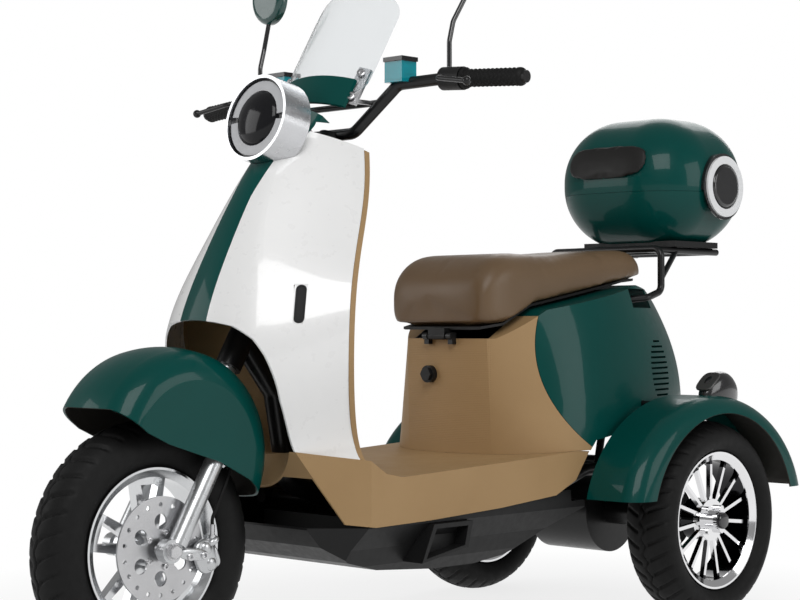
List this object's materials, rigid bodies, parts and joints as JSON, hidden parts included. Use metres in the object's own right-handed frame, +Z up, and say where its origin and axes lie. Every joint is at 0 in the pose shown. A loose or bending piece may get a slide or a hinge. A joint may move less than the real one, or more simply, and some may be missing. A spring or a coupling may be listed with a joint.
{
  "type": "electric tricycle",
  "caption": "Step-through electric tricycle with a leg shield, one steered front wheel, two driven rear wheels, a lifting saddle, a windscreen and an egg-shaped trunk.",
  "frame": {"origin": "floor level under the middle of the overall box", "axes": "+Z up; the vehicle faces -Y; +X points to the rider's left"},
  "size_m": [0.862, 1.8262, 1.2969],
  "materials": {
    "green_gloss": "gloss",
    "white_gloss": "gloss",
    "beige_plastic": "matte",
    "black_plastic": "satin",
    "black_gloss": "gloss",
    "black_paint": "satin",
    "silver_paint": "satin",
    "steel": "brushed",
    "chrome": "polished",
    "cast_alloy": "polished",
    "satin_alloy": "satin",
    "tyre_rubber": "matte",
    "grip_rubber": "matte",
    "hose_rubber": "satin",
    "seat_vinyl": "satin",
    "pad_vinyl": "satin",
    "clear_screen": "clear",
    "lamp_lens": "clear",
    "ring_white": "satin",
    "teal_tank": "gloss",
    "battery_case": "matte"
  },
  "bodies": {
    "chassis": {"main_frame": "black_paint", "motor": "black_paint", "axle_beam": "black_paint", "battery": "battery_case", "belly_pan": "black_plastic", "side_scoops": "black_plastic", "floor_panel": "beige_plastic", "inner_shield": "beige_plastic", "outer_shield_left": "white_gloss", "outer_shield_right": "white_gloss", "centre_stripe": "green_gloss", "neck": "green_gloss", "headlight_bezel": "satin_alloy", "headlight_lens": "lamp_lens", "pedestal": "beige_plastic", "side_panel_left": "green_gloss", "side_panel_right": "green_gloss", "storage_bucket": "black_plastic", "rear_mudguards": "green_gloss", "lamp_pods": "black_gloss", "seat_hinge": "black_paint", "charge_port": "black_plastic", "rack": "black_paint", "trunk_plate": "black_plastic", "trunk_base": "green_gloss"},
    "steering": {"fork": "silver_paint", "front_axle": "steel", "front_mudguard": "green_gloss", "caliper": "cast_alloy", "brake_hose": "hose_rubber", "handlebar": "black_paint", "grips": "grip_rubber", "switch_blocks": "black_plastic", "levers": "black_paint", "reservoirs": "teal_tank", "mirrors": "black_gloss", "cowl": "green_gloss", "windscreen": "clear_screen", "windscreen_straps": "steel"},
    "front_wheel": {"front_rim": "cast_alloy", "front_disc": "steel", "front_tyre": "tyre_rubber"},
    "rear_wheel_left": {"rear_rim_left": "chrome", "rear_tyre_left": "tyre_rubber", "rear_shaft_left": "steel"},
    "rear_wheel_right": {"rear_rim_right": "chrome", "rear_tyre_right": "tyre_rubber", "rear_shaft_right": "steel"},
    "seat": {"seat_pan": "black_plastic", "seat_cushion": "seat_vinyl"},
    "lid": {"trunk_lid": "green_gloss", "trunk_pad": "pad_vinyl", "trunk_disc": "black_gloss", "trunk_ring": "ring_white"}
  },
  "joints": [
    {"name": "steering_turn", "type": "hinge", "parent": "chassis", "child": "steering", "pos_m": [0, -0.68585, 0.2153], "axis": [0, 0.5075, 0.8616], "range_deg": [-30, 30]},
    {"name": "front_wheel_spin", "type": "hinge", "parent": "steering", "child": "front_wheel", "pos_m": [0, -0.69785, 0.2153], "axis": [1, 0, 0], "continuous": true},
    {"name": "rear_left_spin", "type": "hinge", "parent": "chassis", "child": "rear_wheel_left", "pos_m": [0.3073, 0.48565, 0.1993], "axis": [1, 0, 0], "continuous": true},
    {"name": "rear_right_spin", "type": "hinge", "parent": "chassis", "child": "rear_wheel_right", "pos_m": [-0.3073, 0.48565, 0.1993], "axis": [1, 0, 0], "continuous": true},
    {"name": "seat_open", "type": "hinge", "parent": "chassis", "child": "seat", "pos_m": [0, 0.03415, 0.5705], "axis": [1, 0, 0], "range_deg": [0, 75]},
    {"name": "trunk_open", "type": "hinge", "parent": "chassis", "child": "lid", "pos_m": [0, 0.90815, 0.88], "axis": [-1, 0, 0], "range_deg": [0, 75]}
  ]
}
